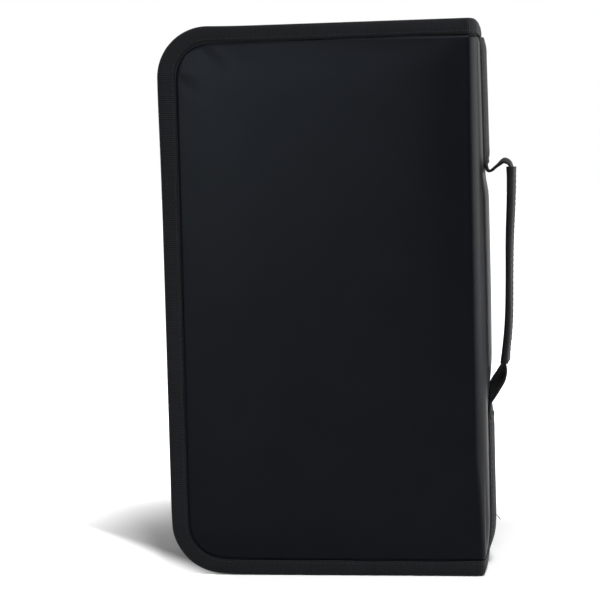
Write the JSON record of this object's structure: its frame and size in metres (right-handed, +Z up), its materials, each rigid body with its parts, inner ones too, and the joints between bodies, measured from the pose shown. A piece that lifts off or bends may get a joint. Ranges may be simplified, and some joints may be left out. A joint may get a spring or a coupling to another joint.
{
  "type": "zip-around disc storage wallet",
  "caption": "Black padded fabric wallet for discs that zips round three sides, with bound cover edges, a flat spine, a webbing carrying handle with a grip sleeve, and sleeves inside.",
  "frame": {"origin": "on the surface the case stands on, under the middle of the whole object's box", "axes": "+Z up, along the case's height; +X from the free edge towards the spine and handle; -Y out of the front cover"},
  "size_m": [0.1836, 0.0722, 0.29],
  "materials": {
    "cover_fabric": "fine black woven polyester, satin",
    "binding": "black ribbed binding tape",
    "webbing": "black woven webbing",
    "grip": "black coated fabric sleeve",
    "lining": "black matte lining",
    "board": "plain stiffener board",
    "zip_tape": "black woven zip tape",
    "zip_coil": "black nylon teeth",
    "slider": "black painted zinc",
    "sleeve": "clear film on dark fleece",
    "clamp": "black moulded plastic"
  },
  "bodies": {
    "back_cover": {"back_cover_panel": "cover_fabric", "back_cover_board": "board", "back_cover_lining": "lining", "back_binding": "binding", "back_gusset": "cover_fabric", "back_zip_tape": "zip_tape", "back_zip_coil": "zip_coil", "back_zip_stop": "slider", "disc_sleeves": "sleeve", "sleeve_clamp_strip": "clamp", "sleeve_rivet_1": "clamp", "sleeve_rivet_2": "clamp", "sleeve_rivet_3": "clamp", "sleeve_rivet_4": "clamp", "sleeve_rivet_5": "clamp", "sleeve_rivet_6": "clamp"},
    "spine": {"spine_panel": "cover_fabric", "spine_board": "board", "spine_lining": "lining", "spine_binding_top": "binding", "spine_binding_bottom": "binding", "handle_strap": "webbing", "handle_grip": "grip"},
    "front_cover": {"front_cover_panel": "cover_fabric", "front_cover_board": "board", "front_cover_lining": "lining", "front_binding": "binding", "front_gusset": "cover_fabric", "front_zip_tape": "zip_tape", "front_zip_coil": "zip_coil", "front_zip_stop": "slider"},
    "zip_slider": {"zip_slider": "slider"},
    "zip_pull": {"zip_pull": "slider"}
  },
  "joints": [
    {"name": "spine_hinge", "type": "hinge", "parent": "back_cover", "child": "spine", "pos_m": [0.07269, 0.03354, 0], "axis": [0, 0, 1], "range_deg": [0, 90]},
    {"name": "front_cover_hinge", "type": "hinge", "parent": "spine", "child": "front_cover", "pos_m": [0.07269, -0.03354, 0], "axis": [0, 0, 1], "range_deg": [0, 90]},
    {"name": "zip_travel", "type": "slide", "parent": "back_cover", "child": "zip_slider", "axis": [-1, 0, 0], "range_m": [0, 0.117]},
    {"name": "pull_swing", "type": "hinge", "parent": "zip_slider", "child": "zip_pull", "pos_m": [0.06065, 0, 0.2854], "axis": [0, 1, 0], "range_deg": [0, 145]}
  ]
}
